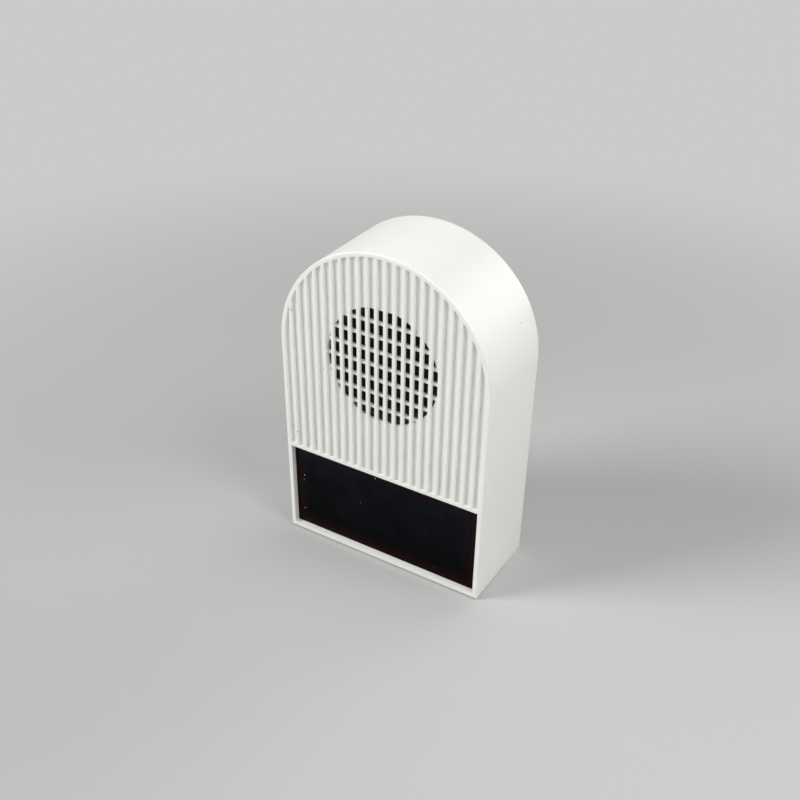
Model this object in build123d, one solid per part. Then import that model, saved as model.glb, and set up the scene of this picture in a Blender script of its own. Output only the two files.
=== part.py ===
"""Battery doorbell chime in an arch-topped box, 120 mm tall.

Millimetres. +X is right, +Y is back and +Z is up. The ribbed front faces -Y, the back face that goes
on the wall faces +Y, and the origin is under the middle of the foot.
"""

import os
from math import cos, pi, radians, sin, sqrt, tan

from build123d import *

# Whole box
front_height = 120.0
front_width = 79.0
depth = 34.2
draught = 1.0  # degrees: the outline grows towards the back
overrun = 1.0  # how far every cutter runs past what it cuts
edge_bevel = 0.25

# Front housing
wall = 2.0
rim = 1.7
groove_count = 23
groove_width = 2.0
groove_depth = 1.0
groove_draught = 2.0  # degrees
groove_floor = 0.9
groove_bar = 1.3
rib_bevel = 0.2

# Sound slots in the grooves
slot_rows = 8
slot_row_pitch = 5.25
slot_height = 4.1
channel_reach = 0.08  # how far the channels cut past the groove floors
grille_radius_share = 0.2658  # of the front's width

# Label plate and its recess
label_height = 35.3
label_depth = 2.3
label_backing = 1.8
label_thickness = 0.4
label_gap = 0.15
label_round = 0.5

# Back cover
cover_thickness = 2.4
cover_gap = 0.15
cover_lip = 1.2
cover_rib_height = 2.2
cover_rib_thickness = 1.2
cover_rib_spacing = 28.0

# Self-tapping cover screws and their bosses
cover_screw_radius = 1.4
cover_screw_length = 9.5
cover_head_radius = 2.7
cover_head_height = 1.4
cover_slot_width = 0.7
boss_radius = 3.0
boss_inset = 6.0
boss_web = 1.2
pilot_gap = 0.05
screw_gap = 0.2
pilot_spare = 2.0
upper_boss_angle = 45.0  # degrees above the arch's centre line

# Keyholes and the bell-wire hole in the back cover
keyhole_spacing_share = 0.5063  # of the front's width
keyhole_height = 88.0
keyhole_radius = 4.25
keyhole_slot_width = 4.4
keyhole_travel = 7.0
bell_wire_height = 52.0
bell_wire_radius = 2.5

# Two AA cells, one above the other, pointing opposite ways
cell_radius_share = 0.2076  # of the depth
cell_length_share = 0.6392  # of the front's width
cell_nub_radius = 2.6
cell_nub_height = 1.2
cell_gap = 0.3
cell_seat_gap = 0.15

# Battery contacts
contact_thickness = 0.4
contact_width = 11.0
contact_bump_radius = 2.8
contact_bump_height = 1.1
spring_length = 3.6
spring_wire = 0.8
spring_seat_radius = 4.6
spring_tip_radius = 2.5
spring_turns = 2
spring_sides = 6
spring_clearance = 0.08
tail_width = 3.0
tail_reach = 1.6
tail_gap = 0.1

# Battery tray, moulded with the back cover
tray_wall = 1.4
tray_front = 1.2
tray_floor_height = 7.0
cradle_width = 2.0
cradle_height = 2.0

# Battery door
door_thickness = 1.6
door_seat = 1.2
door_gap = 0.15
door_dish_radius = 7.0
door_dish_depth = 0.7
door_dish_drop = 8.5
door_grip_count = 3
door_grip_width = 0.8
door_grip_pitch = 2.0
tab_spacing = 34.0
tab_width = 8.0
tab_thickness = 1.2
tab_hook = 1.35
tab_gap = 0.15
tab_swing_room = 0.5
tab_side_gap = 0.3
tongue_width = 12.0
tongue_thickness = 1.0
tongue_drop = 0.7
nose_height = 0.6
nose_length = 1.1
nose_gap = 0.2
notch_height = 4.0
notch_depth = 1.2
pad_length = 40.0
pad_height = 16.0
pad_thickness = 0.7
pad_gap = 0.3

# Loudspeaker: frame, edge and motor
speaker_radius_share = 0.3165  # of the front's width
turned_sides = 32  # flats on the thin turned pieces inside the loudspeaker
sheet = 0.8
flange_width = 3.5
gasket_thickness = 2.0
gasket_width = 1.6
basket_depth = 8.6
spider_radius = 14.4
leg_width = 7.0
surround_sheet = 0.3
surround_roll = 1.8
surround_roll_height = 0.8
surround_land = 0.9
surround_edge = 1.6
spider_sheet = 0.3
spider_rise = 1.2
spider_land = 1.4
spider_fold = 1.6
pole_radius = 6.3
coil_pole_gap = 0.35
former_sheet = 0.2
winding_sheet = 0.25
winding_length = 3.0
coil_plate_gap = 0.3
plate_radius = 13.0
plate_thickness = 2.0
magnet_radius = 15.0
magnet_bore_radius = 8.5
magnet_thickness = 4.5
yoke_radius = 13.5
yoke_thickness = 2.0
frame_hole_radius = 8.0
frame_leg_turns = (45, 135, 225, 315)
cone_sheet = 0.5
cone_depth = 5.5
cone_neck = 0.8
cap_radius = 8.4
cap_height = 1.8
cap_sheet = 0.4
cap_crown_share = 0.55
glue_gap = 0.1
neck_gap = 0.05

# Loudspeaker: terminals
strip_width = 12.0
strip_drop = 7.0
strip_thickness = 1.0
strip_inset = 1.2
strip_tab_width = 8.0
strip_tab_reach = 3.5
lug_pitch_share = 0.125  # of the board's width
lug_width = 2.4
lug_thickness = 0.4
lug_overhang = 0.8
lug_stand = 2.6

# Loudspeaker: fixing to the housing
locating_gap = 0.3
locating_wall = 1.2
locating_height = 2.0
speaker_post_radius = 2.4
speaker_post_spacing = 1.2
speaker_post_angles = (90.0, 210.0, 330.0)
speaker_screw_radius = 1.1
speaker_screw_length = 2.6
speaker_head_radius = 2.3
speaker_head_height = 1.4
washer_radius = 4.6
washer_thickness = 0.6

# Circuit board
board_width_share = 0.5063  # of the front's width
board_margin = 0.6  # from the terminal block to the board's top edge
board_thickness = 1.2
board_bevel = 0.5
board_foot_height = 12.5
board_stand = 2.9
board_post_radius = 2.2
board_post_inset = 3.5
board_screw_radius = 0.9
board_screw_length = 4.0
board_head_radius = 1.8
board_head_height = 1.2
chip_length = 9.3
chip_width = 6.4
chip_height_share = 0.41  # of the room between the board and the tray
chip_stand = 0.5
chip_place_shares = (-0.12, 0.33)
pin_count = 8
pin_pitch = 2.54
pin_width = 0.5
pin_thickness = 0.3
capacitor_radius = 2.5
capacitor_height_share = 0.87
capacitor_place_shares = (-0.27, 0.80)
capacitor_bevel = 0.4
transistor_radius = 2.3
transistor_height_share = 0.58
transistor_stand_share = 0.23
transistor_place_shares = (-0.34, 0.56)
transistor_flat_share = 0.45
leg_pitch = 1.27
leg_thickness = 0.45
resistor_radius = 1.15
resistor_length = 6.3
resistor_wire = 0.6
resistor_wire_reach = 1.6
resistor_place_shares = ((0.10, 0.62), (0.10, 0.52), (-0.12, 0.12))
block_ways = 2
block_pitch_share = 0.125  # of the board's width
block_height = 8.0
block_depth = 9.5
block_bevel = 0.4
block_place_share = 0.225  # of the board's width
block_clearance = 2.0  # above the battery tray
block_entry_radius = 1.3
block_well_radius = 1.9
block_well_depth = 4.2
clamp_screw_radius = 1.7
clamp_screw_height = 2.6
clamp_slot_width = 0.6
clamp_slot_depth = 0.7

# Inner wires
wire_diameter = 1.0
wire_sides = 6
wire_bend_share = 0.45
lead_landing_inset = 2.5
speaker_lead_landing_share = 0.88

# Planes and centres worked out from the sizes above
front_y = -depth / 2
back_y = depth / 2
draught_run = depth * tan(radians(draught))
foot_z = draught_run
arch_radius = front_width / 2
arch_z = foot_z + front_height - arch_radius
face_y = front_y + groove_depth + groove_floor
recess_y = front_y + label_depth
backing_y = recess_y + label_backing
cover_y = back_y - cover_thickness
label_foot_z = foot_z + rim
label_top_z = label_foot_z + label_height
groove_foot_z = label_top_z + groove_bar
backing_top_z = label_top_z + groove_bar

grille_radius = grille_radius_share * front_width
keyhole_spacing = keyhole_spacing_share * front_width
cell_length = cell_length_share * front_width
cell_radius = cell_radius_share * depth

door_y = back_y - door_thickness
cell_y = door_y - pad_thickness - pad_gap - cell_radius
tray_y = cell_y - cell_radius - cell_seat_gap
lower_cell_z = tray_floor_height + cell_seat_gap + cell_radius
upper_cell_z = lower_cell_z + 2 * cell_radius + cell_gap
tray_top_z = upper_cell_z + cell_radius + cell_seat_gap
tray_length = cell_length + spring_length + contact_bump_height + 2 * contact_thickness
tray_end = tray_length / 2
nub_tip_x = tray_end - contact_thickness - contact_bump_height

speaker_radius = speaker_radius_share * front_width
flange_y = face_y + gasket_thickness
post_ring = speaker_radius + locating_gap + speaker_post_spacing + speaker_post_radius
board_y = backing_y + board_stand
board_back_y = board_y + board_thickness
block_z = tray_top_z + tray_wall + block_clearance + block_height / 2
board_top_z = block_z + block_height / 2 + board_margin
board_height = board_top_z - board_foot_height
board_width = board_width_share * front_width
board_room = tray_y - tray_front - board_back_y
chip_height = chip_height_share * board_room
capacitor_height = capacitor_height_share * board_room
transistor_height = transistor_height_share * board_room
transistor_stand = transistor_stand_share * board_room
block_pitch = block_pitch_share * board_width
lug_pitch = lug_pitch_share * board_width


# Small building blocks
def block(x_span, y_span, z_span):
    sizes = [span[1] - span[0] for span in (x_span, y_span, z_span)]
    return Pos(*[sum(span) / 2 for span in (x_span, y_span, z_span)]) * Box(*sizes)


def mirrored_x(centre, width):
    return (centre - width / 2, centre + width / 2)


def rod(x, z, radius, y_start, y_end):
    length = y_end - y_start
    return Pos(x, y_start + length / 2, z) * Rot(90, 0, 0) * Cylinder(radius, length)


def ring(inner, outer, y_start, y_end):
    """A round washer on the loudspeaker's axis."""
    bore = rod(0, arch_z, inner, y_start - overrun, y_end + overrun)
    return rod(0, arch_z, outer, y_start, y_end) - bore


def drum(radius, y_start, y_end):
    """A many-sided disc on the loudspeaker's axis."""
    plane = Plane(origin=(0, y_start, arch_z), x_dir=(1, 0, 0), z_dir=(0, 1, 0))
    return extrude(plane * RegularPolygon(radius, turned_sides), amount=y_end - y_start)


def hoop(inner, outer, y_start, y_end):
    return drum(outer, y_start, y_end) - drum(inner, y_start - overrun, y_end + overrun)


def funnel(*ends):
    """A many-sided solid that narrows between two ends, each a radius and a depth behind the flange."""
    outlines = []
    for radius, drop in ends:
        turns = [2 * pi * index / turned_sides for index in range(turned_sides)]
        outlines.append([(radius * cos(t), flange_y + drop, arch_z + radius * sin(t)) for t in turns])
    near, far = outlines
    walls = [(near[i - 1], near[i], far[i], far[i - 1]) for i in range(turned_sides)]
    return Solid(Shell([make_face(closed_line(corners)) for corners in [near, far] + walls]))


def closed_line(points):
    return Polyline(*points, close=True)


def front_plane(y):
    return Plane(origin=(0, y, 0), x_dir=(1, 0, 0), z_dir=(0, -1, 0))


def arch_outline(half, foot, springing=arch_z):
    sides = Polyline((-half, springing), (-half, foot), (half, foot), (half, springing))
    return make_face(sides + CenterArc((0, springing), half, 0, 180))


def arch_solid(inset, y_back, y_front):
    """The box's outline drawn inwards by inset, with the same draught, between two planes."""
    grown = (y_back - front_y) * tan(radians(draught)) - inset
    outline = arch_outline(arch_radius + grown, foot_z - grown)
    return extrude(front_plane(y_back) * outline, amount=y_back - y_front, taper=draught)


def screw(x, z, y_head, head_radius, head_height, shank_radius, shank_length):
    """A screw whose head stands towards the back from the plane under it."""
    head = rod(x, z, head_radius, y_head, y_head + head_height)
    return head + rod(x, z, shank_radius, y_head - shank_length, y_head)


# Places that several pieces share
def cover_screw_places():
    reach = arch_radius - boss_inset
    rise = radians(upper_boss_angle)
    upper = (reach * cos(rise), arch_z + reach * sin(rise))
    lower = (reach, foot_z + boss_inset)
    return [(side * x, z) for x, z in (lower, upper) for side in (-1, 1)]


def speaker_post_places():
    turns = [radians(angle) for angle in speaker_post_angles]
    return [(post_ring * cos(turn), arch_z + post_ring * sin(turn)) for turn in turns]


def board_post_places():
    across = board_width / 2 - board_post_inset
    low = board_foot_height + board_post_inset
    high = board_top_z - board_post_inset
    screwed = [(-across, low), (across, high)]
    plain = [(across, low), (-across, high)]
    return screwed, plain


def on_board(shares):
    return shares[0] * board_width, board_foot_height + shares[1] * board_height


# Front housing
def groove_cutter():
    """One vertical groove whose sides lean out and whose mouth takes the edge off the ribs beside it."""
    half = groove_width / 2
    foot_half = half - groove_depth * tan(radians(groove_draught))
    lip = half + rib_bevel
    right = [(lip, -overrun), (lip, 0), (half, rib_bevel), (foot_half, groove_depth)]
    left = [(-x, y) for x, y in reversed(right)]
    plane = Plane(origin=(0, front_y, groove_foot_z), x_dir=(1, 0, 0), z_dir=(0, 0, 1))
    outline = make_face(closed_line(right + left))
    return extrude(plane * outline, amount=foot_z + front_height - groove_foot_z)


def groove_centres():
    first = arch_radius - rim - groove_width / 2
    pitch = 2 * first / (groove_count - 1)
    return [index * pitch - first for index in range(groove_count)]


def grooves():
    inner_half = arch_radius - rim + rib_bevel
    zone = front_plane(front_y - overrun) * arch_outline(inner_half, groove_foot_z)
    zone = extrude(zone, amount=-(overrun + groove_depth))
    cutter = groove_cutter()
    return [Pos(x, 0, 0) * cutter & zone for x in groove_centres()]


def sound_channels():
    """Level channels behind the ribs, trimmed to a circle. A slot opens where one crosses a groove."""
    disc = Circle(grille_radius)
    middle = (slot_rows - 1) / 2
    plane = Plane(origin=(0, face_y + overrun, arch_z), x_dir=(1, 0, 0), z_dir=(0, -1, 0))
    channels = []
    for row in range(slot_rows):
        level = Pos(0, (row - middle) * slot_row_pitch) * Rectangle(2 * grille_radius, slot_height)
        channels.append(extrude(plane * (level & disc), amount=groove_floor + overrun + channel_reach))
    return channels


def housing_shell():
    shell = arch_solid(0, back_y, front_y)
    shell = chamfer(shell.faces().sort_by(Axis.Y)[0].edges(), edge_bevel)
    backing = block((-front_width, front_width), (front_y, backing_y), (0, backing_top_z))
    shell -= arch_solid(wall, back_y, face_y) - backing
    shell -= arch_solid(cover_lip, back_y, cover_y)
    label_half = arch_radius - rim
    recess = block((-label_half, label_half), (front_y - overrun, recess_y), (label_foot_z, label_top_z))
    return shell - recess


def root_y(z):
    """Middle of the front wall's thickness, where posts at a height take root."""
    if z < backing_top_z:
        return backing_y - label_backing / 2
    return face_y - groove_floor / 2


def cover_bosses():
    bosses = []
    for x, z in cover_screw_places():
        bosses.append(rod(x, z, boss_radius, root_y(z), cover_y))
    return bosses


def boss_webs():
    """Flat webs that tie each boss to the wall beside it."""
    reach = (arch_radius - boss_inset, arch_radius - wall / 2)
    across = mirrored_x(0, boss_web)
    upper = block(reach, (face_y, cover_y - cover_lip), across)
    lower = block(reach, (backing_y, cover_y - cover_lip), across)
    turns = (upper_boss_angle, 180 - upper_boss_angle)
    webs = [Pos(0, 0, arch_z) * Rot(0, -turn, 0) * upper for turn in turns]
    return webs + [Pos(0, 0, foot_z + boss_inset) * Rot(0, turn, 0) * lower for turn in (0, 180)]


def speaker_seat():
    inner = speaker_radius + locating_gap
    seat = [ring(inner, inner + locating_wall, face_y - groove_floor / 2, face_y + locating_height)]
    for x, z in speaker_post_places():
        seat.append(rod(x, z, speaker_post_radius, face_y - groove_floor / 2, flange_y + sheet))
    return seat


def board_posts():
    screwed, plain = board_post_places()
    return [rod(x, z, board_post_radius, root_y(z), board_y) for x, z in screwed + plain]


def pilot_holes():
    holes = []
    for x, z in cover_screw_places():
        depth_in = cover_screw_length + pilot_spare
        holes.append(rod(x, z, cover_screw_radius + pilot_gap, cover_y - depth_in, cover_y + overrun))
    post_tip = flange_y + sheet
    for x, z in speaker_post_places():
        holes.append(rod(x, z, speaker_screw_radius + pilot_gap, face_y, post_tip + overrun))
    for x, z in board_post_places()[0]:
        radius = board_screw_radius + pilot_gap
        holes.append(rod(x, z, radius, board_back_y - board_screw_length, board_y + overrun))
    return holes


def front_housing():
    housing = housing_shell() - grooves() - sound_channels()
    housing = housing + cover_bosses() + boss_webs() + speaker_seat() + board_posts()
    return housing - pilot_holes()


def label_plate():
    half = arch_radius - rim - label_gap
    height = label_height - 2 * label_gap
    outline = Pos(0, label_foot_z + label_height / 2) * RectangleRounded(2 * half, height, label_round)
    return extrude(front_plane(recess_y) * outline, amount=label_thickness)


# Back cover with the battery tray
def tray_shell():
    end = tray_end + tray_wall
    low = tray_floor_height - tray_wall
    depth = (tray_y - tray_front, cover_y + cover_thickness / 2)
    shell = block((-end, end), depth, (low, tray_top_z + tray_wall))
    inside = block((-tray_end, tray_end), (tray_y, back_y + overrun), (tray_floor_height, tray_top_z))
    return shell, inside


def cradle():
    """A low ridge on the tray's front wall that keeps the two cells apart."""
    middle = (lower_cell_z + upper_cell_z) / 2
    span = cell_length / 2 - cell_radius
    depth = (tray_y - tray_front / 2, tray_y + cradle_height)
    return block((-span, span), depth, mirrored_x(middle, cradle_width))


def tail_slots():
    edge = tray_end - contact_thickness - tail_gap
    cutters = []
    for z in (lower_cell_z, upper_cell_z):
        z_span = mirrored_x(z, tail_width + 2 * tail_gap)
        cutters.append(block((edge, tray_end), (tray_y - tray_front - overrun, tray_y + overrun), z_span))
    return cutters


def tab_slots():
    """Ways through the tray's floor wall for the door's two hooked tabs."""
    front = cover_y - tab_gap - tab_thickness - tab_swing_room
    seat_z = tray_floor_height - door_seat
    cutters = []
    for side in (-1, 1):
        x_span = mirrored_x(side * tab_spacing / 2, tab_width + 2 * tab_side_gap)
        wall_z = (tray_floor_height - tray_wall - overrun, tray_floor_height + overrun)
        cutters.append(block(x_span, (front, cover_y), wall_z))
        cutters.append(block(x_span, (cover_y - overrun, door_y + overrun), (seat_z, wall_z[1])))
    return cutters


def nose_pocket():
    front = cover_y - nose_gap - nose_length - nose_gap
    x_span = mirrored_x(0, tongue_width + 2 * tab_side_gap)
    return block(x_span, (front, cover_y), (tray_top_z - overrun, tray_top_z + tray_wall + overrun))


def door_recess():
    end = tray_end + door_seat
    z_span = (tray_floor_height - door_seat, tray_top_z + door_seat)
    seat = block((-end, end), (door_y, back_y + overrun), z_span)
    notch = mirrored_x(0, tongue_width), (back_y - notch_depth, back_y + overrun)
    return [seat, block(*notch, (z_span[1] - overrun, z_span[1] + notch_height))]


def keyhole(x):
    """A round entry for the screw's head and a slot above it for the shank."""
    span = (cover_y - overrun, back_y + overrun)
    top = keyhole_height + keyhole_travel
    slot = block(mirrored_x(x, keyhole_slot_width), span, (keyhole_height, top))
    return [
        rod(x, keyhole_height, keyhole_radius, *span),
        slot + rod(x, top, keyhole_slot_width / 2, *span),
    ]


def cover_holes():
    span = (cover_y - overrun, back_y + overrun)
    holes = keyhole(-keyhole_spacing / 2) + keyhole(keyhole_spacing / 2)
    holes.append(rod(0, bell_wire_height, bell_wire_radius, *span))
    seat_y = back_y - cover_head_height - cover_gap / 2
    for x, z in cover_screw_places():
        holes.append(rod(x, z, cover_screw_radius + screw_gap, *span))
        holes.append(rod(x, z, cover_head_radius + screw_gap, seat_y, back_y + overrun))
    return holes


def cover_ribs():
    """Two upright stiffeners on the cover's inner face, from the tray to the arch."""
    foot = tray_top_z + tray_wall / 2
    top = arch_z + (arch_radius - boss_inset) * sin(radians(upper_boss_angle))
    y_span = (cover_y - cover_rib_height, cover_y + cover_thickness / 2)
    spots = (-cover_rib_spacing / 2, cover_rib_spacing / 2)
    return [block(mirrored_x(x, cover_rib_thickness), y_span, (foot, top)) for x in spots]


def back_cover():
    shell, inside = tray_shell()
    cover = arch_solid(cover_lip + cover_gap, back_y, cover_y) + shell + cover_ribs() - inside
    cover = cover + cradle() - tail_slots() - tab_slots() - nose_pocket() - door_recess()
    return cover - cover_holes()


def cover_screws():
    seat_y = back_y - cover_head_height - cover_gap / 2
    sizes = (cover_head_radius, cover_head_height, cover_screw_radius, cover_screw_length)
    slot_y = (back_y - cover_head_height / 2, back_y + overrun)
    made = []
    for x, z in cover_screw_places():
        across = mirrored_x(z, 2 * cover_head_radius + overrun)
        made.append(screw(x, z, seat_y, *sizes) - block(mirrored_x(x, cover_slot_width), slot_y, across))
    return made


# Battery door
def door_tab(x):
    """An L-shaped hook that reaches behind the edge of the cover below the door."""
    low = tray_floor_height - door_seat + door_gap
    back = cover_y - tab_gap
    front = back - tab_thickness
    x_span = mirrored_x(x, tab_width)
    leg = block(x_span, (front, door_y + door_thickness / 2), (low, low + tab_thickness))
    return leg + block(x_span, (front, back), (low - tab_hook, low + tab_thickness))


def door_tongue():
    """A springy tongue whose nose snaps behind the edge of the cover above the door."""
    top = tray_top_z - tongue_drop
    back = cover_y - nose_gap
    front = back - nose_length
    x_span = mirrored_x(0, tongue_width)
    leg = block(x_span, (front, door_y + door_thickness / 2), (top - tongue_thickness, top))
    return leg + block(x_span, (front, back), (top - tongue_thickness, tray_top_z + nose_height))


def door_dish():
    """A shallow round thumb dish with level grip grooves."""
    ball = (door_dish_radius**2 + door_dish_depth**2) / (2 * door_dish_depth)
    z = tray_top_z + door_seat - door_dish_drop
    cutters = [Pos(0, back_y - door_dish_depth + ball, z) * Sphere(ball)]
    y_span = (back_y - door_dish_depth - door_grip_width / 2, back_y + overrun)
    for index in range(door_grip_count):
        level = z + (index - (door_grip_count - 1) / 2) * door_grip_pitch
        cutters.append(block(mirrored_x(0, door_dish_radius), y_span, mirrored_x(level, door_grip_width)))
    return cutters


def battery_door():
    end = tray_end + door_seat - door_gap
    z_span = (tray_floor_height - door_seat + door_gap, tray_top_z + door_seat - door_gap)
    door = block((-end, end), (door_y, back_y), z_span)
    door = door + [door_tab(side * tab_spacing / 2) for side in (-1, 1)] + door_tongue()
    return door - door_dish()


def door_pad():
    middle = (lower_cell_z + upper_cell_z) / 2
    z_span = mirrored_x(middle, pad_height)
    return block(mirrored_x(0, pad_length), (door_y - pad_thickness, door_y), z_span)


# Cells and their contacts
def cell(z, side):
    """An AA cell that points to +X when side is 1, with its nub against the contact's bump."""
    shoulder = nub_tip_x - cell_nub_height
    body_length = cell_length - cell_nub_height
    body = Pos(shoulder - body_length / 2, 0, 0) * Rot(0, 90, 0) * Cylinder(cell_radius, body_length)
    nub = Rot(0, 90, 0) * Cylinder(cell_nub_radius, cell_nub_height)
    nub = Pos(shoulder + cell_nub_height / 2, 0, 0) * nub
    return Pos(0, cell_y, z) * Rot(0, 0, 0 if side > 0 else 180) * (body + nub)


def contact_plate(side, z_span):
    inner = tray_end - contact_thickness
    plate = block((inner, tray_end), (cell_y - contact_width / 2, cell_y + contact_width / 2), z_span)
    return plate if side > 0 else mirror(plate, Plane.YZ)


def contact_bump(side, z):
    bump = Cone(contact_bump_radius, contact_bump_radius - contact_bump_height / 2, contact_bump_height)
    centre = tray_end - contact_thickness - contact_bump_height / 2
    return Pos(side * centre, cell_y, z) * Rot(0, -90 * side, 0) * bump


def contact_tail(z):
    """A narrow tail that passes through the tray's front wall to take a wire."""
    y_span = (tray_y - tray_front - tail_reach, cell_y)
    return block((tray_end - contact_thickness, tray_end), y_span, mirrored_x(z, tail_width))


def series_contact():
    low = lower_cell_z - contact_width / 2
    high = upper_cell_z + contact_width / 2
    return contact_plate(-1, (low, high)) + contact_bump(-1, lower_cell_z)


def positive_contact():
    plate = contact_plate(1, mirrored_x(upper_cell_z, contact_width))
    return plate + contact_tail(upper_cell_z) + contact_bump(1, upper_cell_z)


def negative_contact():
    return contact_plate(1, mirrored_x(lower_cell_z, contact_width)) + contact_tail(lower_cell_z)


def biarc(start, start_way, end, end_way):
    """Two arcs from start to end that leave and arrive along the given directions."""
    span = end - start
    square = 2 * (1 - start_way.dot(end_way))
    linear = 2 * span.dot(start_way + end_way)
    reach = (sqrt(linear**2 + 4 * square * span.dot(span)) - linear) / (2 * square)
    first = start + start_way * reach
    second = end - end_way * reach
    joint = (first + second) / 2
    return [TangentArc(start, joint, tangent=start_way), TangentArc(joint, end, tangent=second - first)]


def spring_points(points_per_turn):
    """Points and directions along a conical spring that rises from its seat towards +X."""
    rise = spring_length - spring_wire - 2 * spring_clearance
    count = round(spring_turns * points_per_turn)
    made = []
    for index in range(count + 1):
        share = index / count
        turn = 2 * pi * spring_turns * share
        radius = spring_seat_radius + (spring_tip_radius - spring_seat_radius) * share
        drop = (spring_tip_radius - spring_seat_radius) / (2 * pi * spring_turns)
        way = Vector(
            rise / (2 * pi * spring_turns),
            drop * cos(turn) - radius * sin(turn),
            drop * sin(turn) + radius * cos(turn),
        )
        made.append((Vector(rise * share, radius * cos(turn), radius * sin(turn)), way.normalized()))
    return made


def spring_self_gap():
    """The least gap between one turn of the spring and the next, measured on points."""
    per_turn = 36
    points = [point for point, _ in spring_points(per_turn)]
    near = per_turn // 2
    apart = [(a - b).length for i, a in enumerate(points) for b in points[i + near :]]
    return min(apart) - spring_wire


def spring(side, z):
    stops = spring_points(2)
    path = []
    for (start, start_way), (end, end_way) in zip(stops, stops[1:]):
        path += biarc(start, start_way, end, end_way)
    line = Wire([edge for arc in path for edge in arc.edges()])
    section = Plane(origin=stops[0][0], z_dir=stops[0][1]) * RegularPolygon(spring_wire / 2, spring_sides)
    coil = sweep(section, path=line)
    seat = tray_end - contact_thickness - spring_clearance - spring_wire / 2
    return Pos(-side * seat, cell_y, z) * Rot(0, 0, 0 if side > 0 else 180) * coil


# Loudspeaker
def speaker_frame():
    """Pressed-steel frame: flange, four slanting legs, and the floor that carries spider and motor."""
    mouth = speaker_radius - flange_width
    floor_radius = spider_radius + sheet
    floor = (flange_y + basket_depth, flange_y + basket_depth + sheet)
    flange = ring(mouth, speaker_radius, flange_y, flange_y + sheet)
    frame = flange + ring(frame_hole_radius, floor_radius, *floor)
    slant = [
        (floor_radius - sheet, flange_y + basket_depth),
        (floor_radius - sheet, floor[1]),
        (floor_radius, floor[1]),
        (mouth + sheet, flange_y + sheet),
        (mouth + sheet, flange_y),
        (mouth, flange_y),
    ]
    leg = Pos(0, 0, -leg_width / 2) * extrude(make_face(closed_line(slant)), amount=leg_width)
    frame += [Pos(0, 0, arch_z) * Rot(0, turn, 0) * leg for turn in frame_leg_turns]
    tab = (arch_z - floor_radius - strip_tab_reach, arch_z - spider_radius)
    return frame + block(mirrored_x(0, strip_tab_width), floor, tab)


def speaker_gasket():
    return hoop(speaker_radius - gasket_width, speaker_radius, face_y, flange_y)


def surround_radii():
    outer = speaker_radius - gasket_width - locating_gap / 2
    roll_out = outer - surround_edge
    roll_in = roll_out - surround_roll
    return outer, roll_out, roll_in, roll_in - surround_land


def surround_ridge(drop):
    """The roll's solid from its foot at a depth up to its crown."""
    roll_out, roll_in = surround_radii()[1:3]
    crown = ((roll_out + roll_in) / 2, drop - surround_roll_height)
    return funnel((roll_out, drop), crown) - funnel(crown, (roll_in, drop))


def speaker_surround():
    """A thin rubber edge with one roll between the cone and the flange."""
    outer, inner = surround_radii()[0], surround_radii()[3]
    edge = hoop(inner, outer, flange_y - surround_sheet, flange_y)
    return edge + surround_ridge(-surround_sheet) - surround_ridge(0)


def coil_radii():
    inner = pole_radius + coil_pole_gap
    return inner, inner + former_sheet, inner + former_sheet + winding_sheet


def speaker_spider():
    """A cloth disc with raised rings that keeps the voice coil centred in the gap."""
    inner = coil_radii()[1] + glue_gap
    floor_y = flange_y + basket_depth
    disc_y = floor_y - spider_rise
    spider = hoop(inner, spider_radius, disc_y - spider_sheet, disc_y)
    spider += hoop(spider_radius - spider_land, spider_radius, disc_y, floor_y)
    middle = (inner + spider_radius - spider_land) / 2
    radii = (middle - spider_fold / 2, middle + spider_fold / 2)
    return spider + hoop(*radii, disc_y - 2 * spider_sheet, disc_y - spider_sheet)


def plate_front():
    return flange_y + basket_depth + sheet


def speaker_top_plate():
    bore = coil_radii()[2] + coil_plate_gap
    return ring(bore, plate_radius, plate_front(), plate_front() + plate_thickness)


def speaker_magnet():
    start = plate_front() + plate_thickness
    return ring(magnet_bore_radius, magnet_radius, start, start + magnet_thickness)


def speaker_yoke():
    start = plate_front() + plate_thickness + magnet_thickness
    disc = rod(0, arch_z, yoke_radius, start, start + yoke_thickness)
    return disc + rod(0, arch_z, pole_radius, plate_front(), start)


def cone_shape():
    """Radius and depth of the cone's rim, of the bend inside it and of its neck."""
    rim_outer = surround_radii()[2] - glue_gap
    rim_inner = surround_radii()[3] - glue_gap
    neck = coil_radii()[1] + neck_gap
    return (rim_outer, glue_gap), (rim_inner, glue_gap), (neck, glue_gap + cone_depth)


def speaker_cone():
    """Paper cone: a flat land glued to the surround, the slope, and a neck on the voice coil."""
    rim_outer, rim_inner, neck = cone_shape()
    foot = neck[1] + cone_neck
    front = flange_y + rim_outer[1]
    land = drum(rim_outer[0], front, front + cone_sheet)
    slope = funnel((rim_inner[0] + cone_sheet / 2, rim_inner[1] + cone_sheet), (neck[0] + cone_sheet, foot))
    bore = drum(neck[0], front, flange_y + foot + overrun)
    return land + slope - funnel(rim_inner, neck) - bore


def dust_cap():
    """A shallow cap over the voice coil, seated on the cone's front."""
    rim_inner, neck = cone_shape()[1:]
    slope = (neck[1] - rim_inner[1]) / (rim_inner[0] - neck[0])
    seat = neck[1] - slope * (cap_radius - neck[0]) - neck_gap
    crown = cap_radius * cap_crown_share
    inner_share = (cap_radius - cap_sheet) / cap_radius
    hollow = funnel((cap_radius - cap_sheet, seat), (crown * inner_share, seat - cap_height + cap_sheet))
    return funnel((cap_radius, seat), (crown, seat - cap_height)) - hollow


def voice_coil():
    inner, former, winding = coil_radii()
    front = flange_y + cone_shape()[2][1] - cone_neck
    middle = plate_front() + plate_thickness / 2
    low = middle - winding_length / 2
    return hoop(inner, former, front, low) + hoop(inner, winding, low, middle + winding_length / 2)


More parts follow.
